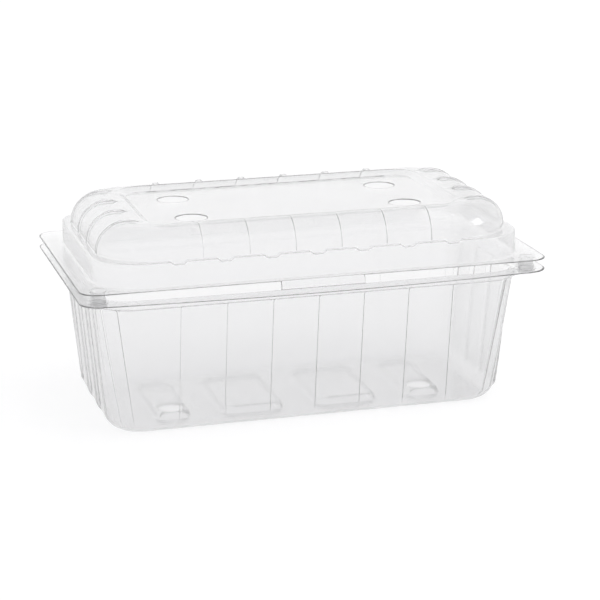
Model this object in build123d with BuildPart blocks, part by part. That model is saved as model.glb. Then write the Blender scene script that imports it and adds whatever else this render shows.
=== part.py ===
from math import atan2, cos, degrees, radians, sin
from build123d import *
import os

# A hinged clamshell pack formed from one clear sheet: a ribbed tray with raised floor pads, and a domed
# lid with a sunken, vented top panel. Both carry a flat flange, and a crease along the back joins them.
# Millimetres. X runs along the pack, Y from its opening side to its hinge, Z up from the tray's floor.

# The sheet
sheet = 0.5
overrun = 1.0

# Flanges
pack_length = 188.0
pack_depth = 106.0
flange_corner = 7.0
tray_flange_z = 58.2
flange_gap = 4.1

# Tray walls, from the floor to the sunken rim under the flange
floor_inset_x = 13.2
floor_inset_y = 16.0
floor_length = pack_length - 2 * floor_inset_x
floor_depth = pack_depth - 2 * floor_inset_y
floor_chamfer = 3.6
floor_ease = 1.6
mouth_inset_x = 8.6
mouth_inset_y = 7.4
mouth_length = pack_length - 2 * mouth_inset_x
mouth_depth = pack_depth - 2 * mouth_inset_y
wall_corner = 14.5
rim_drop = 4.4
rim_inset_x = 5.7
rim_inset_y = 5.3
rim_length = pack_length - 2 * rim_inset_x
rim_depth = pack_depth - 2 * rim_inset_y
rim_corner = 17.0

# Ribs pressed outwards in the tray's walls
side_rib_count = 6
end_rib_count = 4
side_rib_margin = 38.8
rib_pitch = (pack_length - 2 * side_rib_margin) / side_rib_count
rib_height = 0.8
tray_rib_width = 2.2
tray_end_rib_width = 4.6
tray_rib_low_z = 4.0
corner_rib_turns = (30.0, 60.0)

# Floor pads, pressed up into the tray, with a drain hole in each end pad
pad_height = 2.6
pad_chamfer = 2.4
pad_gap = 14.8
pad_inset_x = 21.6
pad_inset_y = 16.5
pad_depth = floor_depth - 2 * pad_inset_y
end_pad_length = 12.8
end_pad_start = floor_length / 2 - pad_inset_x - end_pad_length
inner_pad_start = 7.8
inner_pad_length = end_pad_start - pad_gap - inner_pad_start
drain_diameter = 10.6
drain_setback = 7.0

# Lid band, from the flange up to the ledge
band_inset_x = 7.5
band_inset_y = 4.4
band_length = pack_length - 2 * band_inset_x
band_depth = pack_depth - 2 * band_inset_y
band_corner = 18.0
band_height = 9.4
notch_width = 5.0
notch_drop = 1.4

# Lid dome, from the ledge up to its crest
ledge_width_x = 3.0
ledge_width_y = 3.3
dome_length = band_length - 2 * ledge_width_x
dome_depth = band_depth - 2 * ledge_width_y
dome_corner = 22.0
dome_height = 11.8
dome_round = 11.0
dome_steps = 4
dome_rib_width = 2.4

# Sunken top panel and its vents
panel_inset_x = 22.0
panel_inset_y = 13.9
panel_length = dome_length - 2 * panel_inset_x
panel_depth = dome_depth - 2 * panel_inset_y
panel_corner = 8.0
panel_drop = 1.8
panel_side_slope = 58.0
vent_diameter = 12.6
vent_inset_x = 17.5
vent_back_inset = 18.2
vent_front_inset = 11.0
vent_x = panel_length / 2 - vent_inset_x
vent_back_y = panel_depth / 2 - vent_back_inset
vent_front_y = vent_front_inset - panel_depth / 2

# Snap studs at the front corners, and their sockets
stud_inset_x = 7.4
stud_inset_y = 7.0
stud_x = pack_length / 2 - stud_inset_x
stud_y = pack_depth / 2 - stud_inset_y
stud_diameter = 6.2
stud_seat = 1.2
stud_clearance = 0.3

# Lift tab at the front, and the hinge crease at the back
tab_width = 34.5
tab_reach = 1.1
tab_step = 1.5
tab_drop = 1.9
hinge_inset = 18.0
hinge_length = pack_length - 2 * hinge_inset
hinge_bulge = 1.1
hinge_gap = 0.2

# Levels worked out from these
lid_low_z = tray_flange_z + flange_gap
lid_flange_z = lid_low_z + sheet
rim_z = tray_flange_z - rim_drop
ledge_z = lid_flange_z + band_height
crest_z = ledge_z + dome_height
panel_z = crest_z - panel_drop
crease_z = (tray_flange_z + lid_low_z) / 2


def rounded_block(length, depth, corner, low, high):
    """An upright block with rounded corners, between two levels."""
    with BuildPart() as block:
        with BuildSketch(Plane.XY.offset(low)):
            RectangleRounded(length, depth, corner)
        extrude(amount=high - low)
    return block.part


def sloped_wedge(plane, low_size, high_size, low, high, reach):
    """A block whose cross-section on this plane widens from its low size to its high size."""
    with BuildPart() as wedge:
        with BuildSketch(plane):
            with BuildLine():
                Polyline(
                    (-low_size / 2, low),
                    (low_size / 2, low),
                    (high_size / 2, high),
                    (-high_size / 2, high),
                    close=True,
                )
            make_face()
        extrude(amount=reach, both=True)
    return wedge.part


def tray_bowl(inset):
    """The tray from its floor to its rim ledge: its skin, or one drawn in from it."""
    low, high = inset, rim_z + sheet
    with BuildPart() as bowl:
        add(sloped_wedge(Plane.XZ, floor_length - 2 * inset, mouth_length - 2 * inset, low, high, pack_depth))
        add(
            sloped_wedge(Plane.YZ, floor_depth - 2 * inset, mouth_depth - 2 * inset, low, high, pack_length),
            mode=Mode.INTERSECT,
        )
        corner_edges = bowl.edges().filter_by(Axis.X, reverse=True).filter_by(Axis.Y, reverse=True)
        fillet(corner_edges, wall_corner - inset)
        chamfer(bowl.edges().group_by(Axis.Z)[0], floor_chamfer)
        chamfer(bowl.edges().group_by(Axis.Z)[0], floor_ease)
    return bowl.part


def lid_band(inset):
    """The lid's upright band under its ledge, drawn in by the inset."""
    with BuildPart() as band:
        add(
            rounded_block(
                band_length - 2 * inset, band_depth - 2 * inset, band_corner - inset, lid_low_z, ledge_z - inset
            )
        )
    return band.part


def lid_dome(inset):
    """The lid's dome above its ledge, drawn in by the inset. Its shoulder turns over in equal steps."""
    radius = dome_round - inset
    low, spring = ledge_z - 2 * sheet, crest_z - dome_round
    with BuildPart() as dome:
        add(rounded_block(dome_length - 2 * inset, dome_depth - 2 * inset, dome_corner - inset, low, spring))
        for step in range(dome_steps):
            start, end = radians(90 * step / dome_steps), radians(90 * (step + 1) / dome_steps)
            rise, run = radius * (sin(end) - sin(start)), radius * (cos(start) - cos(end))
            extrude(dome.faces().sort_by(Axis.Z)[-1], amount=rise, taper=degrees(atan2(run, rise)))
    return dome.part


def slabs_across(places, width, reach, low, high):
    """Upright slabs that stand across the pack at these places along it."""
    with BuildPart() as slabs:
        with BuildSketch(Plane.XY.offset(low)):
            with Locations(*[(x, 0) for x in places]):
                Rectangle(width, reach)
        extrude(amount=high - low)
    return slabs.part


def slabs_along(places, width, reach, low, high):
    """Upright slabs that stand along the pack at these places across it."""
    with BuildPart() as slabs:
        with BuildSketch(Plane.XY.offset(low)):
            with Locations(*[(0, y) for y in places]):
                Rectangle(reach, width)
        extrude(amount=high - low)
    return slabs.part


def corner_slabs(width, low, high):
    """Upright slabs that fan out of the tray's four corners."""
    centre_x = mouth_length / 2 - wall_corner
    centre_y = mouth_depth / 2 - wall_corner
    reach = 2 * wall_corner
    with BuildPart() as slabs:
        with BuildSketch(Plane.XY.offset(low)):
            for side_x in (-1, 1):
                for side_y in (-1, 1):
                    for turn in corner_rib_turns:
                        with Locations(Location((side_x * centre_x, side_y * centre_y), side_x * side_y * turn)):
                            with Locations((side_x * reach / 2, 0)):
                                Rectangle(reach, width)
        extrude(amount=high - low)
    return slabs.part


def centred_places(count):
    """This many places, one rib pitch apart, about the middle."""
    return [rib_pitch * (step - (count - 1) / 2) for step in range(count)]


def tray_ribs(inset):
    """The tray's ribs as solids: the skin moved out, kept only inside the slabs."""
    skin = tray_bowl(inset - rib_height)
    high = rim_z + sheet
    low = tray_rib_low_z + inset
    reach = pack_length + pack_depth
    ribs = []
    for slabs in (
        slabs_across(centred_places(side_rib_count + 1), tray_rib_width - 2 * inset, reach, low, high),
        slabs_along(centred_places(end_rib_count), tray_end_rib_width - 2 * inset, reach, low, high),
        corner_slabs(tray_rib_width - 2 * inset, low, high),
    ):
        with BuildPart() as group:
            add(skin)
            add(slabs, mode=Mode.INTERSECT)
        ribs.append(group.part)
    return ribs


def pads(grow, low, high):
    """The four floor pads as blocks, grown sideways."""
    places = []
    for start, length in ((inner_pad_start, inner_pad_length), (end_pad_start, end_pad_length)):
        for side in (-1, 1):
            places.append((side * (start + length / 2), length))
    with BuildPart() as blocks:
        with BuildSketch(Plane.XY.offset(low)):
            for x, length in places:
                with Locations((x, 0)):
                    Rectangle(length + 2 * grow, pad_depth + 2 * grow)
        extrude(amount=high - low)
        chamfer(blocks.edges().filter_by(Axis.Z), pad_chamfer)
    return blocks.part


def dome_ribs(inset):
    """The dome's ribs as solids, over both long shoulders and both ends."""
    skin = lid_dome(inset - rib_height)
    high = crest_z + rib_height
    width = dome_rib_width - 2 * inset
    ribs = []
    for slabs in (
        slabs_across(centred_places(side_rib_count), width, pack_depth, ledge_z, high),
        slabs_along(centred_places(end_rib_count), width, pack_length, ledge_z, high),
    ):
        with BuildPart() as group:
            add(skin)
            add(slabs, mode=Mode.INTERSECT)
            add(rounded_block(panel_length, panel_depth, panel_corner, ledge_z, high), mode=Mode.SUBTRACT)
        ribs.append(group.part)
    return ribs


def panel_pocket(grow, floor):
    """The hollow over the sunken top panel, with sloping sides, grown sideways."""
    with BuildPart() as pocket:
        with BuildSketch(Plane.XY.offset(floor)):
            RectangleRounded(panel_length + 2 * grow, panel_depth + 2 * grow, panel_corner + grow)
        extrude(amount=panel_drop + rib_height, taper=-panel_side_slope)
    return pocket.part


def ledge_notches(grow):
    """The notches that cut the ledge between the dome's ribs on both long sides."""
    reach = (band_depth - dome_depth) / 2
    with BuildPart() as notches:
        with BuildSketch(Plane.XY.offset(ledge_z - notch_drop - grow)):
            for side in (-1, 1):
                with Locations(*[(x, side * (dome_depth + reach) / 2) for x in centred_places(side_rib_count + 1)]):
                    Rectangle(notch_width + 2 * grow, reach + 2 * grow)
        extrude(amount=notch_drop + grow + overrun)
    return notches.part


def studs(low, inset):
    """The snap studs, from this level up to the lid's flange."""
    with BuildPart() as cups:
        with BuildSketch(Plane.XY.offset(low)):
            with Locations((-stud_x, -stud_y), (stud_x, -stud_y)):
                Circle(stud_diameter / 2 - inset)
        extrude(amount=lid_flange_z - low)
    return cups.part


stud_tip_z = tray_flange_z - stud_seat
socket_top_radius = stud_diameter / 2 + stud_clearance
socket_floor_z = stud_tip_z - stud_clearance
crease_outer_y = pack_depth / 2 + hinge_bulge
flange_back_y = pack_depth / 2

# Tray: the flange and the outer skin first, then the inner skin taken out of them.
with BuildPart() as tray_hollow:
    add(tray_bowl(sheet))
    for ribs in tray_ribs(sheet):
        add(ribs)
    add(pads(sheet, 0, pad_height + sheet), mode=Mode.SUBTRACT)
    add(rounded_block(rim_length - 2 * sheet, rim_depth - 2 * sheet, rim_corner - sheet, rim_z + sheet, tray_flange_z))

with BuildPart() as tray:
    add(tray_bowl(0))
    for ribs in tray_ribs(0):
        add(ribs)
    add(rounded_block(rim_length, rim_depth, rim_corner, rim_z, tray_flange_z))
    add(rounded_block(pack_length, pack_depth, flange_corner, tray_flange_z - sheet, tray_flange_z))
    with BuildSketch(Plane.XY.offset(socket_floor_z - sheet)):
        with Locations((-stud_x, -stud_y), (stud_x, -stud_y)):
            Circle(socket_top_radius + sheet)
    extrude(amount=tray_flange_z - socket_floor_z)
    with BuildSketch(Plane.XY.offset(socket_floor_z)):
        with Locations((-stud_x, -stud_y), (stud_x, -stud_y)):
            Circle(socket_top_radius)
    extrude(amount=tray_flange_z - socket_floor_z + overrun, mode=Mode.SUBTRACT)
    add(tray_hollow.part, mode=Mode.SUBTRACT)
    add(pads(0, -overrun, pad_height), mode=Mode.SUBTRACT)
    drain_y = drain_setback - pad_depth / 2
    with Locations(*[(side * (end_pad_start + end_pad_length / 2), drain_y, pad_height) for side in (-1, 1)]):
        Cylinder(drain_diameter / 2, 4 * sheet, mode=Mode.SUBTRACT)
    # The lower half of the hinge crease leans out from the flange's back edge.
    with BuildSketch(Plane.YZ.offset(-hinge_length / 2)):
        with BuildLine():
            Polyline(
                (flange_back_y - sheet, tray_flange_z - sheet),
                (flange_back_y, tray_flange_z - sheet),
                (crease_outer_y, crease_z - hinge_gap / 2),
                (crease_outer_y - sheet, crease_z - hinge_gap / 2),
                (flange_back_y - sheet, tray_flange_z),
                close=True,
            )
        make_face()
    extrude(amount=hinge_length)

# Lid: made the same way, the other way up.
with BuildPart() as lid_hollow:
    add(lid_band(sheet))
    add(ledge_notches(sheet), mode=Mode.SUBTRACT)
    add(lid_dome(sheet))
    for ribs in dome_ribs(sheet):
        add(ribs)
    add(panel_pocket(sheet, panel_z - sheet), mode=Mode.SUBTRACT)

with BuildPart() as lid:
    add(lid_band(0))
    add(ledge_notches(0), mode=Mode.SUBTRACT)
    add(lid_dome(0))
    for ribs in dome_ribs(0):
        add(ribs)
    add(panel_pocket(0, panel_z), mode=Mode.SUBTRACT)
    add(rounded_block(pack_length, pack_depth, flange_corner, lid_low_z, lid_flange_z))
    add(lid_hollow.part, mode=Mode.SUBTRACT)
    vent_places = [(side * vent_x, y, panel_z) for side in (-1, 1) for y in (vent_back_y, vent_front_y)]
    with Locations(*vent_places):
        Cylinder(vent_diameter / 2, 4 * sheet, mode=Mode.SUBTRACT)
    add(studs(stud_tip_z, 0))
    add(studs(stud_tip_z + sheet, sheet), mode=Mode.SUBTRACT)
    # The lift tab turns down from the front edge in two steps.
    tab_front_y = -flange_back_y - tab_reach
    with BuildSketch(Plane.YZ.offset(-tab_width / 2)):
        with BuildLine():
            Polyline(
                (-flange_back_y + sheet, lid_low_z),
                (-flange_back_y + sheet, lid_flange_z),
                (-flange_back_y, lid_flange_z),
                (tab_front_y, lid_flange_z - tab_step),
                (tab_front_y, lid_flange_z - tab_step - tab_drop),
                (tab_front_y + sheet, lid_flange_z - tab_step - tab_drop),
                (tab_front_y + sheet, lid_flange_z - tab_step),
                (-flange_back_y, lid_low_z),
                close=True,
            )
        make_face()
    extrude(amount=tab_width)
    with BuildSketch(Plane.YZ.offset(-hinge_length / 2)):
        with BuildLine():
            Polyline(
                (flange_back_y - sheet, lid_flange_z),
                (flange_back_y, lid_flange_z),
                (crease_outer_y, crease_z + hinge_gap / 2),
                (crease_outer_y - sheet, crease_z + hinge_gap / 2),
                (flange_back_y - sheet, lid_low_z),
                close=True,
            )
        make_face()
    extrude(amount=hinge_length)

tray.part.label = "tray"
lid.part.label = "lid"
os.makedirs("parts", exist_ok=True)
export_step(tray.part, "parts/tray.step")
export_step(lid.part, "parts/lid.step")
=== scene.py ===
"""Looks for a clear clamshell pack: its two formed sheets, the table it stands on and the studio around it."""

from math import cos, radians, sin

import bpy
import numpy as np
from mathutils import Matrix, Vector


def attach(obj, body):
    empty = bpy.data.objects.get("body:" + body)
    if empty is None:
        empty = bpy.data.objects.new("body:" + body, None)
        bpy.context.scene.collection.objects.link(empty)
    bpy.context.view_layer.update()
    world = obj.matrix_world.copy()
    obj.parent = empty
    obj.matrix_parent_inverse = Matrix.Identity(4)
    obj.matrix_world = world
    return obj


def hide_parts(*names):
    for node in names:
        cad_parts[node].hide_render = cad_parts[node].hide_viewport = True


bl_info = {
    "name": "Clear clamshell pack",
    "version": (1, 0, 0),
    "blender": (4, 5, 0),
    "location": "View3D > Sidebar > Clamshell",
    "description": "Forms the ribbed tray and the domed lid of a clear clamshell pack, and lights them",
    "category": "Object",
}

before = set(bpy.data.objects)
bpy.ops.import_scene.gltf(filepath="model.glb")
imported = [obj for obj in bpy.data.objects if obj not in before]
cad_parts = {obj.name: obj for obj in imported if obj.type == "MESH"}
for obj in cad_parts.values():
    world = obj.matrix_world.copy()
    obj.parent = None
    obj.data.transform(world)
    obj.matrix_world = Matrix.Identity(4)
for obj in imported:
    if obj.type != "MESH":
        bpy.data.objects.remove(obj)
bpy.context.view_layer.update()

MM = 0.001

# Plan sizes, in millimetres: half lengths, half depths and corner radii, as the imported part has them
PACK_HALF_X, PACK_HALF_Y, FLANGE_CORNER = 94.0, 53.0, 7.0
FLOOR_HALF_X, FLOOR_HALF_Y = 80.8, 37.0
MOUTH_HALF_X, MOUTH_HALF_Y, WALL_CORNER = 85.4, 45.6, 14.5
RIM_HALF_X, RIM_HALF_Y, RIM_CORNER = 88.3, 47.7, 17.0
BAND_HALF_X, BAND_HALF_Y, BAND_CORNER = 86.5, 48.6, 18.0
DOME_HALF_X, DOME_HALF_Y, DOME_CORNER = 83.5, 45.3, 22.0
PANEL_HALF_X, PANEL_HALF_Y, PANEL_CORNER = 61.5, 31.4, 8.0

# Levels, in millimetres
TRAY_FLANGE_Z, RIM_Z = 58.2, 53.8
LID_FLANGE_Z, LEDGE_Z, CREST_Z, PANEL_Z = 62.8, 72.2, 84.0, 82.2
CREASE_Z, CREASE_GAP = 60.25, 0.1

# Places of the ribs, pads, vents, drain holes and studs, in millimetres from the middle
RIB_PITCH = 18.4
NOTCH_PLACES = (0.0, RIB_PITCH, 2 * RIB_PITCH, 3 * RIB_PITCH)
DOME_SIDE_RIBS = (0.5 * RIB_PITCH, 1.5 * RIB_PITCH, 2.5 * RIB_PITCH)
END_RIBS = (0.5 * RIB_PITCH, 1.5 * RIB_PITCH)
PAD_SPANS = ((7.8, 31.6), (46.4, 59.2))
PAD_HALF_DEPTH, PAD_CORNER = 20.5, 3.0
DRAIN_X, DRAIN_Y = 52.8, -13.5
VENT_X, VENT_BACK_Y, VENT_FRONT_Y = 44.0, 13.2, -20.4
STUD_X, STUD_Y = 86.6, -46.0
HINGE_HALF, HINGE_REACH = 76.0, 1.1
TAB_REACH, TAB_STEP, TAB_DROP = 1.1, 1.5, 1.9

# Ribs: the widths of their slopes on the tray's long walls, its end walls and the dome, the levels between which the
# tray's ribs rise out of the wall, and the share of its height that an end rib keeps below the dome's crest
SIDE_FLANK, END_FLANK, DOME_FLANK = 0.45, 1.4, 0.45
RIB_START_Z, RIB_FULL_Z = 3.0, 6.0
DOME_END_SHARE = 0.6

# Ribs round the tray's corners: the share of the way round and of the height of each, the length of that way, and the
# share of the height that is left at the floor
CORNER_RIBS, CORNER_WAY, CORNER_FOOT_SHARE = ((0.53, 1.0), (0.78, 0.4)), 34.2, 0.5

# Slopes of the pads, as half widths at the front edge, the sides and the back edge, and width of a notch's slopes
PAD_EASE, PAD_EASE_SIDE, PAD_EASE_BACK = 0.5, 0.9, 1.8
PAD_TURN_FROM, PAD_TURN_TO = PAD_HALF_DEPTH - 4.0, PAD_HALF_DEPTH - 1.0
NOTCH_EASE = 1.8

# Slope of the step down to the lid's panel, in degrees, and the crease along the panel's back edge
PANEL_SLOPE = 58.0
CREASE_DEPTH, CREASE_RUN = 0.4, 0.4

# Where the tray's flange starts to hang towards its front edge
SAG_FROM_Y = 44.0

# Profiles of the round forms, from their edge inwards: what is added to the radius, and the drop
SOCKET_PROFILE = ((0.3, 0.0), (0.15, 0.06), (0.0, 0.3), (-0.05, 1.0), (-0.35, 1.42), (-1.2, 1.5))
STUD_PROFILE = (
    (0.8, 0.0),
    (0.3, 0.1),
    (-0.1, 0.5),
    (-0.4, 1.2),
    (-0.4, 2.0),
    (-0.1, 2.9),
    (0.1, 3.7),
    (0.0, 4.6),
    (-0.4, 5.2),
    (-1.3, 5.5),
)
DRAIN_PROFILE = ((0.4, 0.0), (0.0, 0.0))
VENT_PROFILE = ((0.5, 0.0), (0.0, 0.0))
SOCKET_PLAY = 0.3

# Grids: the last kept places across and along, the widest gaps between lines, the places up to which lines keep
# their place on every ring, the half sizes of the flat middles, and the steps round a corner and a rounded edge
TRAY_KEPT, TRAY_GAPS, TRAY_HELD, TRAY_CORE_Y = (60.4, 30.2), (2.6, 2.0), (57.0, 17.0), 28.0
LID_KEPT, LID_GAP, LID_HELD, LID_CORE = (59.9, 30.2), 1.7, (48.0, 10.8), (54.5, 28.0)
TRAY_CORNER_STEPS, LID_CORNER_STEPS = 40, 36
FLOOR_STEPS, DOME_STEPS = 8, 14

# Folds, as reaches to each side of a station, and spacings of the rows between the stations
TRAY_FOLDS, TRAY_SPACINGS, TRAY_FOLD_STEPS = (0, 1.4, 1.45, 0.4, 0), (0, 5.0, 1.2, 2.0, 0.5), 5
TOP_FOLDS, TOP_SPACINGS, TOP_FOLD_STEPS = (0, 0.08, 0.08, 0.4, 0), (0, 1.6, 0.3, 1.2, 3.0), 3
SKIRT_FOLDS, SKIRT_SPACINGS, SKIRT_FOLD_STEPS = (0, 0.5, 0.7, 0.8, 0), (0, 0.4, 0.8, 3.0, 0.6), 4

# The sheet's finish: the facing blend of its slant, the distances from a stud between which the painted shade at the
# studs fades out, the waves of the forming, and the share of the lamps' light that passes through
SLANT_BLEND = 0.35
STUD_SHADE_NEAR, STUD_SHADE_FAR = 3.2, 4.4
WAVE_SCALE, WAVE_DETAIL, WAVE_STRENGTH, WAVE_DEPTH = 55.0, 1.5, 0.16, 0.3
LAMP_PASS = (0.9, 0.9, 0.905, 1)

# The table lies a little under the floor, so that the two don't share a plane
TABLE_GAP = 0.1
TABLE_REACH, TABLE_BACK, TABLE_CURVE, TABLE_HEIGHT, TABLE_CURVE_STEPS = 3.0, 2.2, 0.8, 2.6, 24
TABLE_ROUGHNESS = 0.9
GLOW_RUN = (0.3, 2.2)
ROOM_BLUE = 1.03

# Lamps: name, place in metres, width, share of the top light's power, and whether the gloss mirrors them
LAMPS = (
    ("top_light", (0.3, -0.2, 1.25), 1.1, 0.6, False),
    ("shine_light", (0.3, -0.2, 1.25), 1.1, 0.4, True),
    ("left_light", (-1.3, -0.5, 0.7), 0.5, 0.2, False),
    ("right_light", (1.2, -0.9, 0.9), 0.6, 0.35, True),
)
LAMP_AIM = (0, 0, 0.04)

# Camera: bearing, height and roll in degrees, distance and aim in metres, lens and sensor in millimetres
CAMERA_BEARING, CAMERA_HEIGHT, CAMERA_ROLL, CAMERA_AWAY = -15.7265, 15.6159, -0.4315, 0.86984
CAMERA_AIM = (0.0057, 0.0, 0.03915)
CAMERA_LENS, CAMERA_SENSOR, CAMERA_CLIP = 126.64, 36.0, (0.05, 20.0)


def length(name, description, default):
    """A length property whose default is given in millimetres."""
    return bpy.props.FloatProperty(name=name, description=description, default=default * MM, unit="LENGTH")


class PackSizes(bpy.types.PropertyGroup):
    """Sizes of the formed sheet that can change without moving its walls."""

    thickness: length("Sheet thickness", "Thickness of the clear sheet", 0.3)
    rib_height: length("Rib height", "How far the ribs stand out of the walls", 0.8)
    tray_rib_width: length("Tray rib width", "Width of the ribs on the tray's long walls", 2.4)
    end_rib_width: length("End rib width", "Width of the ribs on the tray's end walls", 4.6)
    dome_rib_width: length("Dome rib width", "Width of the ribs on the lid's dome", 2.6)
    floor_round: length("Floor rounding", "Radius between the tray's floor and its walls", 6.0)
    dome_round: length("Dome rounding", "Radius of the dome's shoulder", 11.0)
    pad_height: length("Pad height", "How far the floor pads rise", 2.6)
    notch_width: length("Notch width", "Width of the notches along the lid's ledge", 5.0)
    notch_drop: length("Notch drop", "Depth of the notches along the lid's ledge", 1.1)
    vent_diameter: length("Vent diameter", "Diameter of the vents in the lid", 12.6)
    drain_diameter: length("Drain diameter", "Diameter of the drain holes in the floor", 10.6)
    stud_diameter: length("Stud diameter", "Diameter of the snap studs", 6.2)
    tab_width: length("Tab width", "Width of the lift tab", 34.5)
    flange_sag: length("Flange sag", "How far the tray's flange hangs at its front middle", 1.3)


class SheetLook(bpy.types.PropertyGroup):
    """Finish of the clear sheet, with painted shade towards the tray's floor and round the studs."""

    tint: bpy.props.FloatVectorProperty(
        name="Tint",
        description="Share of each colour that one wall lets through",
        default=(0.943, 0.943, 0.946),
        subtype="COLOR",
        size=3,
        min=0.0,
        max=1.0,
    )
    # Painted shade: the sheet's tint is darkened towards the tray's floor, standing in for the pack's shadow on the
    # table seen through the tray.
    floor_shade_share: bpy.props.FloatProperty(
        name="Low share",
        description="Share of the tint that is left at the tray's floor, where the sheet is hazier",
        default=0.95,
        subtype="FACTOR",
    )
    # Painted shade: the sheet's tint is darkened round the studs, standing in for the shade in their deep cups.
    stud_shade_share: bpy.props.FloatProperty(
        name="Stud share",
        description="Share of the tint that is left at the studs, which are drawn deep",
        default=0.9,
        subtype="FACTOR",
    )
    slant_share: bpy.props.FloatProperty(
        name="Slant share",
        description="Share of the tint that is left where the sheet is seen along its face",
        default=0.96,
        subtype="FACTOR",
    )
    ior: bpy.props.FloatProperty(name="IOR", description="Index of refraction", default=1.5)
    haze: bpy.props.FloatProperty(name="Haze", description="Roughness of the glossy surface", default=0.13)


class StageLook(bpy.types.PropertyGroup):
    """The table, the room and the lights."""

    table_colour: bpy.props.FloatVectorProperty(
        name="Table colour",
        description="Colour of the table and the backdrop",
        default=(0.9, 0.9, 0.9),
        subtype="COLOR",
        size=3,
        min=0.0,
        max=1.0,
    )
    shadow_share: bpy.props.FloatProperty(
        name="Shadow share",
        description="Share of the table's look that is lit by the lamps and takes shadows",
        default=0.4,
        subtype="FACTOR",
    )
    glow_near: bpy.props.FloatProperty(
        name="Glow near", description="Brightness added to the table beside the pack", default=0.73
    )
    glow_far: bpy.props.FloatProperty(name="Glow far", description="Brightness added to the backdrop", default=1.01)
    room_grey: bpy.props.FloatProperty(
        name="Room grey", description="Brightness of the light that the room gives", default=0.35
    )
    top_power: bpy.props.FloatProperty(
        name="Top light", description="Power of the large light above", default=12.0, unit="POWER"
    )


def grid_lines(limit, widest, marks):
    """Sorted places from zero to the limit: every mark, and even fillers so that no gap is wider than the widest."""
    marks = np.unique(np.round(np.abs(np.concatenate([np.ravel(m) for m in marks] + [[0.0, limit]])), 2))
    marks = marks[marks <= limit]
    marks = marks[np.concatenate([[True], np.diff(marks) > 0.12])]
    counts = np.ceil(np.diff(marks) / widest).astype(int)
    runs = [np.linspace(a, b, n, endpoint=False) for a, b, n in zip(marks[:-1], marks[1:], counts)]
    return np.concatenate(runs + [[limit]])


def around(places, offsets):
    """Each place with each offset on both sides of it."""
    return np.add.outer(np.asarray(places), np.concatenate([-np.asarray(offsets), [0.0], offsets]))


def ridge(distance, width, flank):
    """Height share of a pressed rib at a distance from its middle: one over the flat top, falling straight to zero
    over the flanks, which end at half the width."""
    return np.clip((width / 2 - np.abs(distance)) / flank, 0, 1)


def rib_lines(width, flank):
    """Distances from a rib's middle where grid lines run: at both ends of a flank, and close by on each side of it."""
    return width / 2 + flank * np.array([-1.6, -1.0, 0.0, 0.6])


def ease(x, start, end):
    """Zero before the start and one after the end, with a smooth run between."""
    t = np.clip((x - start) / (end - start), 0, 1)
    return t * t * (3 - 2 * t)


def folded_path(stations, folds, fold_steps, spacing):
    """Rows along a line of stations, each a half length, half depth, corner radius and level.
    At a fold the line leaves the first straight and joins the next on a quadratic curve, of the given reach to each
    side, and straights are divided so that rows are no further apart than their spacing."""
    stations = np.asarray(stations, float)
    rows = [stations[:1]]
    for k in range(1, len(stations)):
        start, end = rows[-1][-1], stations[k]
        reach = folds[k] if k < len(stations) - 1 else 0.0
        run = np.linalg.norm((end - start)[[0, 3]])
        stop = end - (end - start) * (reach / max(run, 1e-6))
        count = max(int(np.ceil((run - reach) / spacing[k])), 1)
        t = np.linspace(0, 1, count + 1)[1:, None]
        rows.append(start + (stop - start) * t)
        if reach > 0:
            leave = stations[k + 1] - end
            after = end + leave * (reach / max(np.linalg.norm(leave[[0, 3]]), 1e-6))
            t = np.linspace(0, 1, fold_steps + 1)[1:, None]
            rows.append((1 - t) ** 2 * stop + 2 * t * (1 - t) * end + t**2 * after)
    return np.concatenate(rows)


def corner_lines(count, places, offsets):
    """Shares of the way round a corner: even steps, with lines at the given offsets to both sides of each place."""
    marks = np.add.outer(places, np.concatenate([-offsets, offsets])).ravel()
    even = np.linspace(0, 1, count + 1)[1:-1]
    clear = np.abs(even[:, None] - marks).min(1) > 0.3 / count
    return np.sort(np.concatenate([even[clear], marks]))


def rounded_rings(rows, across, along, corner, hold):
    """Closed rings in plan, one for each row, as a function of the row and of the way round it.
    A quarter of a ring is a straight, an arc and a straight. Its points keep the given places across the front and
    along the end, and the rest divide the way between them evenly. With s the way from the front's middle,
    x = min(s, a - R) + R sin f and y = b - R + R cos f - rest, where f = (s - (a - R)) / R held between 0 and 90
    degrees. The quarter is mirrored to make the ring. Corner holds the shares of the way between the kept places
    where the other points lie. Returns the points, their normals, and their shares, which are -1 at kept places."""
    a, b, radius = (rows[:, k : k + 1] for k in range(3))
    flat_x, flat_y = a - radius, b - radius

    def way(places, flat, held):
        limit = np.minimum(places[-1], flat + 0.6 * radius)
        places = np.where(
            places > held, held + (places - held) * (limit - held) / (places[-1] - held), places + 0 * flat
        )
        turn = np.arcsin(np.clip((places - flat) / radius, 0, 1))
        return np.where(places <= flat, places, flat + radius * turn)

    front = way(across, flat_x, hold[0])
    whole = flat_x + flat_y + radius * np.pi / 2
    end = whole - way(along, flat_y, hold[1])[:, ::-1]
    s = np.concatenate([front, front[:, -1:] + (end[:, :1] - front[:, -1:]) * corner, end], axis=1)
    share = np.concatenate([np.full(front.shape[1], -1.0), corner, np.full(end.shape[1], -1.0)])
    turn = np.clip((s - flat_x) / radius, 0, np.pi / 2)
    x = np.minimum(s, flat_x) + radius * np.sin(turn)
    y = flat_y + radius * np.cos(turn) - np.maximum(s - flat_x - radius * np.pi / 2, 0)
    quarter = np.stack([x, y, np.sin(turn), np.cos(turn), np.broadcast_to(share, x.shape)], -1)
    front_right = quarter[:, :-1] * (1, -1, 1, -1, 1)
    back_right = quarter[:, :0:-1]
    back_left = quarter[:, :-1] * (-1, 1, -1, 1, 1)
    front_left = quarter[:, :0:-1] * (-1, -1, -1, -1, 1)
    ring = np.concatenate([front_right, back_right, back_left, front_left], axis=1)
    points = np.concatenate([ring[..., :2], np.broadcast_to(rows[:, None, 3:4], ring.shape[:2] + (1,))], -1)
    return points, ring[..., 2:4], ring[..., 4]


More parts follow.
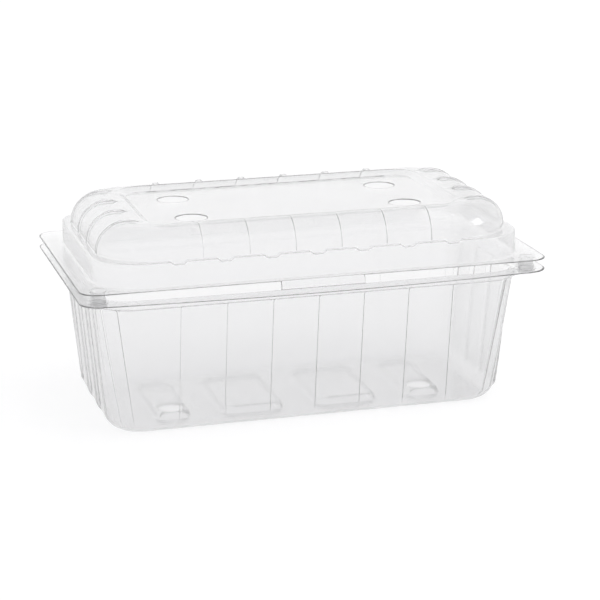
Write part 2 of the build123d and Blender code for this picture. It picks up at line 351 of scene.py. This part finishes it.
class SheetMesh:
    """Gathers the grids of one formed sheet. Its faces look up until the sheet is finished."""

    def __init__(self):
        self.points, self.faces, self.count = [], [], 0

    def add(self, points):
        """Takes a grid of points, and returns their numbers as a grid of the same shape."""
        numbers = self.count + np.arange(points[..., 0].size).reshape(points.shape[:-1])
        self.points.append(points)
        self.count += numbers.size
        return numbers

    def strips(self, loops):
        """Faces between closed loops of numbers, each outside the one before it. Where a loop holds one number
        several times in a row, the faces there have three sides."""
        after = np.roll(loops, -1, axis=1)
        faces = quads(loops[:-1], loops[1:], after[1:], after[:-1])
        self.faces.append(faces)

    def press_round(self, numbers, points, open_cells, centre, rows, closed):
        """Presses a round form into a grid. The cells that the first row touches are opened. From the edge of that
        window, loops run inwards: each has a radius and a drop, and its points lie in the directions of the
        window's own points from the centre. The last loop closes on the centre, or stays open as a hole."""
        near = np.hypot(points[..., 0] - centre[0], points[..., 1] - centre[1]) < rows[0][0] + 0.12
        inside = [np.flatnonzero(near.any(axis)) for axis in (1, 0)]
        (low, high), (left, right) = ((run[0] - 1, run[-1] + 1) for run in inside)
        open_cells[low:high, left:right] = True

        def window(grid):
            return np.concatenate(
                [
                    grid[low, left:right],
                    grid[low:high, right],
                    grid[high, right:left:-1],
                    grid[high:low:-1, left],
                ]
            )

        edge, place = window(numbers), window(points)
        x, y = place[:, 0] - centre[0], place[:, 1] - centre[1]
        if np.sum(x * np.roll(y, -1) - y * np.roll(x, -1)) < 0:
            edge, x, y, place = edge[::-1], x[::-1], y[::-1], place[::-1]
        level = np.median(place[:, 2])
        rows = np.asarray(rows, float)
        size = np.hypot(x, y)
        loops = np.empty((len(rows), len(edge), 3))
        loops[..., 0] = centre[0] + rows[:, :1] * x / size
        loops[..., 1] = centre[1] + rows[:, :1] * y / size
        loops[..., 2] = level - rows[:, 1:]
        inwards = np.concatenate([edge[None], self.add(loops)])
        if closed:
            middle = self.add(np.array([[centre[0], centre[1], level - rows[-1, 1]]]))
            inwards = np.concatenate([inwards, np.broadcast_to(middle, (1, len(edge)))])
        self.strips(inwards[::-1])

    def finish(self, name, faces_up, thickness, material, body):
        """Makes the mesh, and gives the sheet its thickness inwards from the skin."""
        points, faces = np.concatenate([p.reshape(-1, 3) for p in self.points]) * MM, np.concatenate(self.faces)
        if not faces_up:
            faces = faces[:, ::-1]
        kept, numbers = np.unique(faces, return_inverse=True)
        numbers = numbers.reshape(-1, 4)
        same = numbers == np.roll(numbers, -1, axis=1)
        whole = numbers[~same.any(1)]
        pointed = numbers[same.any(1)]
        pointed = pointed[~same[same.any(1)]].reshape(-1, 3)
        mesh = bpy.data.meshes.new(name)
        mesh.from_pydata(points[kept].tolist(), [], whole.tolist() + pointed.tolist())
        mesh.shade_smooth()
        mesh.materials.append(material)
        piece = bpy.data.objects.new(name, mesh)
        bpy.context.scene.collection.objects.link(piece)
        wall = piece.modifiers.new("Sheet", "SOLIDIFY")
        wall.thickness, wall.offset, wall.use_even_offset = thickness, -1.0, True
        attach(piece, body)
        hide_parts(body)
        return piece


def quads(a, b, c, d):
    """Four-sided faces from four equal arrays of vertex numbers."""
    return np.stack([np.ravel(v) for v in (a, b, c, d)], -1)


def profile(radius, rows):
    """Rows of a round form: its radius with each row's share added, and the row's drop."""
    return [(radius + more, drop) for more, drop in rows]


def core_edge(grid, corner_points):
    """Numbers round the edge of a grid of numbers, from the middle of its front, the way that the rings run. Each
    corner stands for all of a ring's points round that corner."""
    middle_x = grid.shape[1] // 2
    corners = [np.repeat(grid[j, i], corner_points) for j, i in ((0, -1), (-1, -1), (-1, 0), (0, 0))]
    return np.concatenate(
        [
            grid[0, middle_x:],
            corners[0],
            grid[:, -1],
            corners[1],
            grid[-1, ::-1],
            corners[2],
            grid[::-1, 0],
            corners[3],
            grid[0, :middle_x],
        ]
    )


def core_grid(across, along, level):
    """A flat grid from the places of its lines in one quarter."""
    x = np.concatenate([-across[:0:-1], across])
    y = np.concatenate([-along[:0:-1], along])
    grid = np.full((len(y), len(x), 3), level)
    grid[..., 0], grid[..., 1] = x, y[:, None]
    return grid


def squeezed(places, held, limit):
    """Keeps places up to the held one, and draws the rest in evenly so that the last comes to the limit."""
    return np.where(places > held, held + (places - held) * (limit - held) / (places[-1] - held), places)


def join_sheet(core, rings, corner_points, rounds, lips):
    """A sheet of a middle grid, rings from its edge out to the cut edge, round forms and lips. A round form names its
    grid, centre and rows. A lip carries a run of the cut edge further by rows of points."""
    sheet = SheetMesh()
    core_numbers, ring_numbers = sheet.add(core), sheet.add(rings)
    loops = np.concatenate([core_edge(core_numbers, corner_points)[None], ring_numbers])
    open_core = np.zeros((core.shape[0] - 1, core.shape[1] - 1), bool)
    open_rings = np.zeros((rings.shape[0] - 1, rings.shape[1]), bool)
    for on_core, centre, rows, closed in rounds:
        if on_core:
            sheet.press_round(core_numbers, core, open_core, centre, rows, closed)
        else:
            sheet.press_round(ring_numbers, rings, open_rings, centre, rows, closed)
    cells = quads(core_numbers[:-1, :-1], core_numbers[:-1, 1:], core_numbers[1:, 1:], core_numbers[1:, :-1])
    sheet.faces.append(cells[~open_core.ravel()])
    sheet.strips(loops[:2])
    after = np.roll(ring_numbers, -1, axis=1)
    walls = quads(ring_numbers[:-1], ring_numbers[1:], after[1:], after[:-1])
    sheet.faces.append(walls[~open_rings.ravel()])
    for first, lip in lips:
        run = np.arange(first, first + lip.shape[1]) % rings.shape[1]
        numbers = np.concatenate([ring_numbers[-1][run][None], sheet.add(lip)])
        sheet.faces.append(quads(numbers[:-1, :-1], numbers[1:, :-1], numbers[1:, 1:], numbers[:-1, 1:]))
    return sheet


def edge_lip(rings, low, high, front, rows):
    """Rows that carry a run of the cut edge further, between two places across the front or the back.
    Each row is an offset outwards and a level."""
    edge = rings[-1]
    side = edge[:, 1] < 0 if front else edge[:, 1] > 0
    on_edge = side & (np.abs(np.abs(edge[:, 1]) - PACK_HALF_Y) < 0.01) & (edge[:, 0] >= low) & (edge[:, 0] <= high)
    turns = len(edge)
    member = np.flatnonzero(on_edge)
    if front:
        member = np.sort((member + turns // 2) % turns) - turns // 2
    run = edge[member % turns]
    way = -1.0 if front else 1.0
    rows = np.asarray(rows)
    lip = np.broadcast_to(run, (len(rows),) + run.shape).copy()
    lip[..., 1] += way * rows[:, :1]
    lip[..., 2] = rows[:, 1:]
    return member[0] % turns, lip


SEEING_RAYS = ("Is Camera Ray", "Is Glossy Ray", "Is Transmission Ray")


def seen_rays(nodes, links, kinds):
    """A socket that is one for any of these kinds of ray, and zero for the rest."""
    ray = nodes.new("ShaderNodeLightPath")
    found = ray.outputs[kinds[0]]
    for kind in kinds[1:]:
        larger = nodes.new("ShaderNodeMath")
        larger.operation = "MAXIMUM"
        links.new(found, larger.inputs[0])
        links.new(ray.outputs[kind], larger.inputs[1])
        found = larger.outputs["Value"]
    return found


def ranged(nodes, links, value, given, wanted):
    """A socket that takes a value from the given range to the wanted one, and holds it at both ends."""
    mapped = nodes.new("ShaderNodeMapRange")
    links.new(value, mapped.inputs["Value"])
    for name, limit in zip(("From Min", "From Max", "To Min", "To Max"), (*given, *wanted)):
        mapped.inputs[name].default_value = limit
    return mapped.outputs["Result"]


def product(nodes, links, a, b):
    """A socket that holds the product of two sockets."""
    both = nodes.new("ShaderNodeMath")
    both.operation = "MULTIPLY"
    links.new(a, both.inputs[0])
    links.new(b, both.inputs[1])
    return both.outputs["Value"]


def clear_sheet_material():
    """Clear glossy plastic: glass that darkens where it is seen along its face, with painted shade towards the floor
    and at the studs, and faint waves from the forming. Light from the lamps passes through it."""
    look = bpy.context.scene.sheet_look
    found = bpy.data.materials.get("clear_formed_sheet")
    if found:
        return found
    material = bpy.data.materials.new("clear_formed_sheet")
    material.use_nodes = True
    nodes, links = material.node_tree.nodes, material.node_tree.links
    nodes.clear()
    output = nodes.new("ShaderNodeOutputMaterial")
    sheet = nodes.new("ShaderNodeBsdfPrincipled")
    sheet.inputs["Roughness"].default_value = look.haze
    sheet.inputs["IOR"].default_value = look.ior
    sheet.inputs["Transmission Weight"].default_value = 1.0
    place = nodes.new("ShaderNodeTexCoord")
    axes = nodes.new("ShaderNodeSeparateXYZ")
    links.new(place.outputs["Object"], axes.inputs["Vector"])
    facing = nodes.new("ShaderNodeLayerWeight")
    facing.inputs["Blend"].default_value = SLANT_BLEND
    slant = ranged(nodes, links, facing.outputs["Facing"], (0.0, 1.0), (1.0, look.slant_share))
    # Painted shade: the tint darkens from the lid's flange down to the tray's floor.
    height = ranged(nodes, links, axes.outputs["Z"], (0.0, LID_FLANGE_Z * MM), (look.floor_shade_share, 1.0))
    # Painted shade: the tint darkens close to the studs, by the distance to the nearer stud.
    aside = nodes.new("ShaderNodeMath")
    aside.operation = "ABSOLUTE"
    links.new(axes.outputs["X"], aside.inputs[0])
    plan = nodes.new("ShaderNodeCombineXYZ")
    links.new(aside.outputs["Value"], plan.inputs["X"])
    links.new(axes.outputs["Y"], plan.inputs["Y"])
    from_stud = nodes.new("ShaderNodeVectorMath")
    from_stud.operation = "DISTANCE"
    links.new(plan.outputs["Vector"], from_stud.inputs[0])
    from_stud.inputs[1].default_value = (STUD_X * MM, STUD_Y * MM, 0.0)
    run = (STUD_SHADE_NEAR * MM, STUD_SHADE_FAR * MM)
    drawn = ranged(nodes, links, from_stud.outputs["Value"], run, (look.stud_shade_share, 1.0))
    share = product(nodes, links, product(nodes, links, slant, height), drawn)
    tones = nodes.new("ShaderNodeVectorMath")
    tones.operation = "SCALE"
    tones.inputs[0].default_value = look.tint
    links.new(share, tones.inputs["Scale"])
    links.new(tones.outputs["Vector"], sheet.inputs["Base Color"])
    waves = nodes.new("ShaderNodeTexNoise")
    waves.inputs["Scale"].default_value = WAVE_SCALE
    waves.inputs["Detail"].default_value = WAVE_DETAIL
    links.new(place.outputs["Object"], waves.inputs["Vector"])
    bump = nodes.new("ShaderNodeBump")
    bump.inputs["Strength"].default_value = WAVE_STRENGTH
    bump.inputs["Distance"].default_value = WAVE_DEPTH * MM
    links.new(waves.outputs["Fac"], bump.inputs["Height"])
    links.new(bump.outputs["Normal"], sheet.inputs["Normal"])
    passing = nodes.new("ShaderNodeBsdfTransparent")
    passing.inputs["Color"].default_value = LAMP_PASS
    mix = nodes.new("ShaderNodeMixShader")
    links.new(seen_rays(nodes, links, ("Is Shadow Ray", "Is Diffuse Ray")), mix.inputs["Fac"])
    links.new(sheet.outputs["BSDF"], mix.inputs[1])
    links.new(passing.outputs["BSDF"], mix.inputs[2])
    links.new(mix.outputs["Shader"], output.inputs["Surface"])
    return material


class FORM_OT_tray(bpy.types.Operator):
    """Form the tray: its floor with the pads and drain holes, its ribbed walls, its rim, flange and sockets"""

    bl_idname = "clamshell.form_tray"
    bl_label = "Form tray"

    def execute(self, context):
        sizes = context.scene.pack_sizes
        rib, floor_round = sizes.rib_height / MM, sizes.floor_round / MM
        side_width, end_width = sizes.tray_rib_width / MM, sizes.end_rib_width / MM
        side_lines, end_lines = rib_lines(side_width, SIDE_FLANK), rib_lines(end_width, END_FLANK)
        slope = np.array([-1.0, -0.6, -0.3, 0.0, 0.3, 0.6, 1.0])
        pad_sides = np.add.outer(np.ravel(PAD_SPANS), PAD_EASE_SIDE * slope)
        pad_ends = PAD_HALF_DEPTH + np.outer((PAD_EASE, PAD_EASE_BACK), slope)
        across = grid_lines(TRAY_KEPT[0], TRAY_GAPS[0], [around(NOTCH_PLACES, side_lines), pad_sides])
        along = grid_lines(TRAY_KEPT[1], TRAY_GAPS[1], [around(END_RIBS, end_lines), pad_ends])
        corner = corner_lines(TRAY_CORNER_STEPS, [place for place, _ in CORNER_RIBS], side_lines / CORNER_WAY)

        turn = np.radians(np.linspace(0, 90, FLOOR_STEPS + 1))[:, None]
        inset, rise = floor_round * (1 - np.sin(turn)), floor_round * (1 - np.cos(turn))
        lean_x, lean_y = (MOUTH_HALF_X - FLOOR_HALF_X) / RIM_Z, (MOUTH_HALF_Y - FLOOR_HALF_Y) / RIM_Z
        foot = np.concatenate(
            [FLOOR_HALF_X + lean_x * rise - inset, FLOOR_HALF_Y + lean_y * rise - inset, WALL_CORNER - inset, rise], 1
        )
        mouth = (MOUTH_HALF_X, MOUTH_HALF_Y, WALL_CORNER, RIM_Z)
        rim = (RIM_HALF_X, RIM_HALF_Y, RIM_CORNER)
        skin_z = TRAY_FLANGE_Z - sizes.thickness / MM
        cut_edge = (PACK_HALF_X, PACK_HALF_Y, FLANGE_CORNER, skin_z)
        stations = [foot[-1], mouth, (*rim, RIM_Z), (*rim, skin_z), cut_edge]
        wall = folded_path(stations, TRAY_FOLDS, TRAY_FOLD_STEPS, TRAY_SPACINGS)
        rows = np.concatenate([foot, wall[1:]])
        rings, normals, shares = rounded_rings(rows, across, along, corner, TRAY_HELD)

        level = rows[:, 3:4]
        on_wall = ease(level, RIB_START_Z, RIB_FULL_Z) * (1 - ease(rows[:, :1], MOUTH_HALF_X + 0.4, RIM_HALF_X - 0.6))
        on_side = np.abs(normals[..., 1]) > np.abs(normals[..., 0])
        side_ribs = sum(ridge(np.abs(rings[..., 0]) - c, side_width, SIDE_FLANK) for c in NOTCH_PLACES)
        end_ribs = sum(ridge(np.abs(rings[..., 1]) - c, end_width, END_FLANK) for c in END_RIBS)
        corner_ribs = sum(h * ridge((shares - c) * CORNER_WAY, side_width, SIDE_FLANK) for c, h in CORNER_RIBS)
        corner_ribs *= CORNER_FOOT_SHARE + (1 - CORNER_FOOT_SHARE) * level / RIM_Z
        relief = np.maximum(np.where(on_side, side_ribs, end_ribs), corner_ribs) * on_wall * rib
        rings[..., :2] += normals * relief[..., None]

        core = core_grid(across, squeezed(along, TRAY_HELD[1], TRAY_CORE_Y), 0.0)
        self.raise_pads(core, sizes.pad_height / MM)
        drain = sizes.drain_diameter / MM / 2
        cup = sizes.stud_diameter / MM / 2 + SOCKET_PLAY + sizes.thickness / MM
        drain_rows, cup_rows = profile(drain, DRAIN_PROFILE), profile(cup, SOCKET_PROFILE)
        rounds = [(True, (side * DRAIN_X, DRAIN_Y), drain_rows, False) for side in (-1, 1)]
        rounds += [(False, (side * STUD_X, STUD_Y), cup_rows, True) for side in (-1, 1)]

        front = ease(-rings[..., 1], SAG_FROM_Y, PACK_HALF_Y) * (1 - (rings[..., 0] / PACK_HALF_X) ** 2)
        rings[..., 2] -= sizes.flange_sag / MM * front * ease(rings[..., 2], RIM_Z, TRAY_FLANGE_Z - 1.0)

        crease = [(0.5 * HINGE_REACH, (TRAY_FLANGE_Z + CREASE_Z) / 2 - 0.2), (HINGE_REACH, CREASE_Z - CREASE_GAP)]
        lips = [edge_lip(rings, -HINGE_HALF, HINGE_HALF, False, crease)]
        sheet = join_sheet(core, rings, len(corner), rounds, lips)
        sheet.finish("tray_sheet", False, sizes.thickness, clear_sheet_material(), "tray")
        return {"FINISHED"}

    @staticmethod
    def raise_pads(grid, height):
        """Lifts the grid inside rounded rectangles: by an eased step over the distance to their edge. The step is
        wider at the sides than at the front, and widest at the back."""
        x, y = np.abs(grid[..., 0]), np.abs(grid[..., 1])
        half = PAD_EASE + (PAD_EASE_SIDE - PAD_EASE) * (1 - ease(y, PAD_TURN_FROM, PAD_TURN_TO))
        half += (PAD_EASE_BACK - PAD_EASE) * ease(grid[..., 1], PAD_TURN_FROM, PAD_TURN_TO)
        for start, end in PAD_SPANS:
            dx = np.abs(x - (start + end) / 2) - (end - start) / 2 + PAD_CORNER
            dy = y - PAD_HALF_DEPTH + PAD_CORNER
            outside = np.hypot(np.maximum(dx, 0), np.maximum(dy, 0)) + np.minimum(np.maximum(dx, dy), 0) - PAD_CORNER
            grid[..., 2] = np.maximum(grid[..., 2], height * ease(-outside, -half, half))


class FORM_OT_lid(bpy.types.Operator):
    """Form the lid: its sunken panel with the vents, its ribbed dome, ledge, band, flange, studs and lift tab"""

    bl_idname = "clamshell.form_lid"
    bl_label = "Form lid"

    def execute(self, context):
        sizes = context.scene.pack_sizes
        rib, dome_round = sizes.rib_height / MM, sizes.dome_round / MM
        rib_width, notch_half = sizes.dome_rib_width / MM, sizes.notch_width / MM / 2
        lines = rib_lines(rib_width, DOME_FLANK)
        notch_flank = notch_half + NOTCH_EASE * np.array([-0.5, -0.17, 0.17, 0.5])
        across = grid_lines(LID_KEPT[0], LID_GAP, [around(DOME_SIDE_RIBS, lines), around(NOTCH_PLACES, notch_flank)])
        along = grid_lines(LID_KEPT[1], LID_GAP, [around(END_RIBS, lines)])
        corner = np.linspace(0, 1, LID_CORNER_STEPS + 1)[1:-1]

        panel = (PANEL_HALF_X, PANEL_HALF_Y, PANEL_CORNER, PANEL_Z)
        rise = CREST_Z - PANEL_Z
        run = rise * np.tan(np.radians(PANEL_SLOPE))
        panel_edge = (PANEL_HALF_X + run, PANEL_HALF_Y + run, PANEL_CORNER + run, CREST_Z)
        crest = (DOME_HALF_X - dome_round, DOME_HALF_Y - dome_round + 0.3, DOME_CORNER - dome_round + 0.3, CREST_Z)
        start, before = (tuple(v - inset for v in panel[:3]) + (PANEL_Z,) for inset in (2.0, CREASE_RUN))
        stations = [start, before, panel, panel_edge, crest]
        top = folded_path(stations, TOP_FOLDS, TOP_FOLD_STEPS, TOP_SPACINGS)
        turn = np.radians(np.linspace(0, 90, DOME_STEPS + 1))[1:, None]
        swing = dome_round * np.sin(turn)
        shoulder = np.concatenate(
            [
                DOME_HALF_X - dome_round + swing,
                DOME_HALF_Y - dome_round + swing,
                DOME_CORNER - dome_round + swing,
                CREST_Z - dome_round + dome_round * np.cos(turn),
            ],
            1,
        )
        foot = (DOME_HALF_X, DOME_HALF_Y, DOME_CORNER, LEDGE_Z)
        ledge = (BAND_HALF_X, BAND_HALF_Y, BAND_CORNER, LEDGE_Z)
        band = (BAND_HALF_X, BAND_HALF_Y, BAND_CORNER, LID_FLANGE_Z)
        cut_edge = (PACK_HALF_X, PACK_HALF_Y, FLANGE_CORNER, LID_FLANGE_Z)
        stations = [shoulder[-1], foot, ledge, band, cut_edge]
        skirt = folded_path(stations, SKIRT_FOLDS, SKIRT_FOLD_STEPS, SKIRT_SPACINGS)
        rows = np.concatenate([top, shoulder, skirt[1:]])
        rings, normals, _ = rounded_rings(rows, across, along, corner, LID_HELD)

        swing_of_row = np.zeros(len(rows))
        swing_of_row[len(top) : len(top) + len(shoulder)] = turn[:, 0]
        swing_of_row[len(top) + len(shoulder) :] = np.pi / 2
        past_panel = np.arange(len(rows)) >= len(top) - 2
        over_dome = past_panel * (1 - ease(rows[:, 0], DOME_HALF_X + 0.1, DOME_HALF_X + 1.4))
        on_side = np.abs(normals[..., 1]) > np.abs(normals[..., 0])
        side_ribs = sum(ridge(np.abs(rings[..., 0]) - c, rib_width, DOME_FLANK) for c in DOME_SIDE_RIBS)
        end_ribs = sum(ridge(np.abs(rings[..., 1]) - c, rib_width, DOME_FLANK) for c in END_RIBS)
        fade = np.where(on_side, ease(swing_of_row, 0.05, 0.3)[:, None], 1.0)
        end_ribs = end_ribs * (1 - (1 - DOME_END_SHARE) * ease(swing_of_row, 0.05, 0.6)[:, None])
        relief = np.where(on_side, side_ribs, end_ribs) * fade * over_dome[:, None] * rib
        rings[..., :2] += normals * (relief * np.sin(swing_of_row)[:, None])[..., None]
        rings[..., 2] += relief * np.cos(swing_of_row)[:, None]

        at_panel = np.clip(1 - np.abs(rows[:, 0] - PANEL_HALF_X) / CREASE_RUN, 0, 1)[:, None]
        rings[..., 2] -= at_panel * ease(normals[..., 1], 0.9, 0.99) * CREASE_DEPTH

        notches = sum(
            ease(notch_half - np.abs(np.abs(rings[..., 0]) - c), -NOTCH_EASE / 2, NOTCH_EASE / 2) for c in NOTCH_PLACES
        )
        on_ledge = ease(-rows[:, 3], -LEDGE_Z - 0.75, -LEDGE_Z - 0.1) * ease(rows[:, 3], LEDGE_Z - 1.6, LEDGE_Z - 0.5)
        rings[..., 2] -= notches * on_side * on_ledge[:, None] * sizes.notch_drop / MM

        core = core_grid(*(squeezed(*given) for given in zip((across, along), LID_HELD, LID_CORE)), PANEL_Z)
        vent_rows = profile(sizes.vent_diameter / MM / 2, VENT_PROFILE)
        cup_rows = profile(sizes.stud_diameter / MM / 2 - sizes.thickness / MM, STUD_PROFILE)
        vents = [(side * VENT_X, y) for side in (-1, 1) for y in (VENT_BACK_Y, VENT_FRONT_Y)]
        rounds = [(True, centre, vent_rows, False) for centre in vents]
        rounds += [(False, (side * STUD_X, STUD_Y), cup_rows, True) for side in (-1, 1)]
        half_tab = sizes.tab_width / MM / 2
        tab_low = LID_FLANGE_Z - TAB_STEP
        tab = [
            (0.35 * TAB_REACH, LID_FLANGE_Z - 0.3 * TAB_STEP),
            (TAB_REACH, tab_low),
            (TAB_REACH, tab_low - 0.5 * TAB_DROP),
            (TAB_REACH, tab_low - TAB_DROP),
        ]
        crease = [(0.5 * HINGE_REACH, (LID_FLANGE_Z + CREASE_Z) / 2 + 0.2), (HINGE_REACH, CREASE_Z + CREASE_GAP)]
        lips = [
            edge_lip(rings, -half_tab, half_tab, True, tab),
            edge_lip(rings, -HINGE_HALF, HINGE_HALF, False, crease),
        ]
        sheet = join_sheet(core, rings, len(corner), rounds, lips)
        sheet.finish("lid_sheet", True, sizes.thickness, clear_sheet_material(), "lid")
        return {"FINISHED"}


class SET_OT_stage(bpy.types.Operator):
    """Set the table, the backdrop, the room, the lights and the camera"""

    bl_idname = "clamshell.set_stage"
    bl_label = "Set stage"

    def execute(self, context):
        look = context.scene.stage_look
        self.add_table(look)
        self.set_room(look)
        self.add_lights(look)
        self.add_camera()
        return {"FINISHED"}

    @staticmethod
    def add_table(look):
        """A sheet of paper that lies flat under the pack and curves up behind it: a quarter circle joins both."""
        turn = np.linspace(0, np.pi / 2, TABLE_CURVE_STEPS)
        y = np.concatenate([[-TABLE_REACH], TABLE_BACK + TABLE_CURVE * np.sin(turn), [TABLE_BACK + TABLE_CURVE]])
        z = np.concatenate([[0.0], TABLE_CURVE * (1 - np.cos(turn)), [TABLE_HEIGHT]]) - TABLE_GAP * MM
        x = np.linspace(-TABLE_REACH, TABLE_REACH, 3)
        grid = np.stack(np.broadcast_arrays(x, y[:, None], z[:, None]), -1)
        numbers = np.arange(grid[..., 0].size).reshape(grid.shape[:2])
        faces = quads(numbers[:-1, :-1], numbers[:-1, 1:], numbers[1:, 1:], numbers[1:, :-1])
        mesh = bpy.data.meshes.new("table")
        mesh.from_pydata(grid.reshape(-1, 3).tolist(), [], faces.tolist())
        mesh.shade_smooth()
        table = bpy.data.objects.new("table", mesh)
        bpy.context.scene.collection.objects.link(table)
        material = bpy.data.materials.new("white_paper")
        material.use_nodes = True
        nodes, links = material.node_tree.nodes, material.node_tree.links
        paper = nodes["Principled BSDF"]
        paper.inputs["Base Color"].default_value = (*look.table_colour, 1)
        paper.inputs["Roughness"].default_value = TABLE_ROUGHNESS
        paper.inputs["Specular IOR Level"].default_value = 0.0
        place = nodes.new("ShaderNodeTexCoord")
        away = nodes.new("ShaderNodeVectorMath")
        away.operation = "LENGTH"
        links.new(place.outputs["Object"], away.inputs[0])
        glow = nodes.new("ShaderNodeEmission")
        fill = ranged(nodes, links, away.outputs["Value"], GLOW_RUN, (look.glow_near, look.glow_far))
        links.new(fill, glow.inputs["Strength"])
        seen_paper = nodes.new("ShaderNodeBsdfDiffuse")
        seen_paper.inputs["Color"].default_value = (*(look.shadow_share * c for c in look.table_colour), 1)
        both = nodes.new("ShaderNodeAddShader")
        links.new(seen_paper.outputs["BSDF"], both.inputs[0])
        links.new(glow.outputs["Emission"], both.inputs[1])
        mix = nodes.new("ShaderNodeMixShader")
        links.new(seen_rays(nodes, links, SEEING_RAYS), mix.inputs["Fac"])
        links.new(paper.outputs["BSDF"], mix.inputs[1])
        links.new(both.outputs["Shader"], mix.inputs[2])
        links.new(mix.outputs["Shader"], nodes["Material Output"].inputs["Surface"])
        mesh.materials.append(material)

    @staticmethod
    def set_room(look):
        """A room that gives a plain grey light. The camera sees it as white, directly, in the gloss and through the
        sheet."""
        world = bpy.data.worlds.new("room")
        bpy.context.scene.world = world
        world.use_nodes = True
        nodes, links = world.node_tree.nodes, world.node_tree.links
        room = nodes["Background"]
        room.inputs["Color"].default_value = (look.room_grey, look.room_grey, look.room_grey * ROOM_BLUE, 1)
        white = nodes.new("ShaderNodeBackground")
        white.inputs["Color"].default_value = (1, 1, 1, 1)
        mix = nodes.new("ShaderNodeMixShader")
        links.new(seen_rays(nodes, links, SEEING_RAYS), mix.inputs["Fac"])
        links.new(room.outputs["Background"], mix.inputs[1])
        links.new(white.outputs["Background"], mix.inputs[2])
        links.new(mix.outputs["Shader"], nodes["World Output"].inputs["Surface"])

    @staticmethod
    def add_lights(look):
        """A large light above the pack, of which the gloss mirrors only a part, and two weaker ones beside it."""
        for name, place, size, share, mirrored in LAMPS:
            data = bpy.data.lights.new(name, "AREA")
            data.shape, data.size, data.energy = "SQUARE", size, share * look.top_power
            lamp = bpy.data.objects.new(name, data)
            lamp.location = place
            lamp.rotation_euler = (Vector(LAMP_AIM) - lamp.location).to_track_quat("-Z", "Y").to_euler()
            lamp.visible_glossy = lamp.visible_transmission = mirrored
            bpy.context.scene.collection.objects.link(lamp)

    @staticmethod
    def add_camera():
        """The photograph's camera: a long lens, slightly above the pack and to its left."""
        bearing, height, roll = (radians(turn) for turn in (CAMERA_BEARING, CAMERA_HEIGHT, CAMERA_ROLL))
        ahead = Vector((-sin(bearing) * cos(height), cos(bearing) * cos(height), -sin(height)))
        right = Vector((cos(bearing), sin(bearing), 0))
        upward = right.cross(ahead)
        right, upward = right * cos(roll) + upward * sin(roll), upward * cos(roll) - right * sin(roll)
        data = bpy.data.cameras.new("camera")
        data.lens, data.sensor_width, (data.clip_start, data.clip_end) = CAMERA_LENS, CAMERA_SENSOR, CAMERA_CLIP
        camera = bpy.data.objects.new("camera", data)
        turn = Matrix((right, upward, -ahead)).transposed().to_4x4()
        camera.matrix_world = Matrix.Translation(Vector(CAMERA_AIM) - ahead * CAMERA_AWAY) @ turn
        bpy.context.scene.collection.objects.link(camera)
        bpy.context.scene.camera = camera


class VIEW3D_PT_clamshell(bpy.types.Panel):
    """Lists the pack's pieces and its stage"""

    bl_label = "Clear clamshell pack"
    bl_idname = "VIEW3D_PT_clamshell"
    bl_space_type = "VIEW_3D"
    bl_region_type = "UI"
    bl_category = "Clamshell"

    def draw(self, context):
        for group in ("pack_sizes", "sheet_look", "stage_look"):
            values = getattr(context.scene, group)
            for name in values.bl_rna.properties.keys():
                if name not in ("rna_type", "name"):
                    self.layout.prop(values, name)
        for operator in PIECES:
            self.layout.operator(operator.bl_idname)


PIECES = (FORM_OT_tray, FORM_OT_lid, SET_OT_stage)
GROUPS = {"pack_sizes": PackSizes, "sheet_look": SheetLook, "stage_look": StageLook}


def register():
    for item in (*GROUPS.values(), *PIECES, VIEW3D_PT_clamshell):
        bpy.utils.register_class(item)
    for name, group in GROUPS.items():
        setattr(bpy.types.Scene, name, bpy.props.PointerProperty(type=group))


def unregister():
    for name in GROUPS:
        delattr(bpy.types.Scene, name)
    for item in (VIEW3D_PT_clamshell, *reversed(PIECES), *reversed(GROUPS.values())):
        bpy.utils.unregister_class(item)


def main():
    register()
    bpy.ops.clamshell.form_tray()
    bpy.ops.clamshell.form_lid()
    bpy.ops.clamshell.set_stage()
    scene = bpy.context.scene
    scene.view_settings.view_transform = "Standard"
    scene.cycles.max_bounces = 32
    scene.cycles.transmission_bounces = 32
    scene.cycles.transparent_max_bounces = 32
    scene.cycles.glossy_bounces = 24
    scene.cycles.diffuse_bounces = 3


if __name__ == "__main__":
    main()
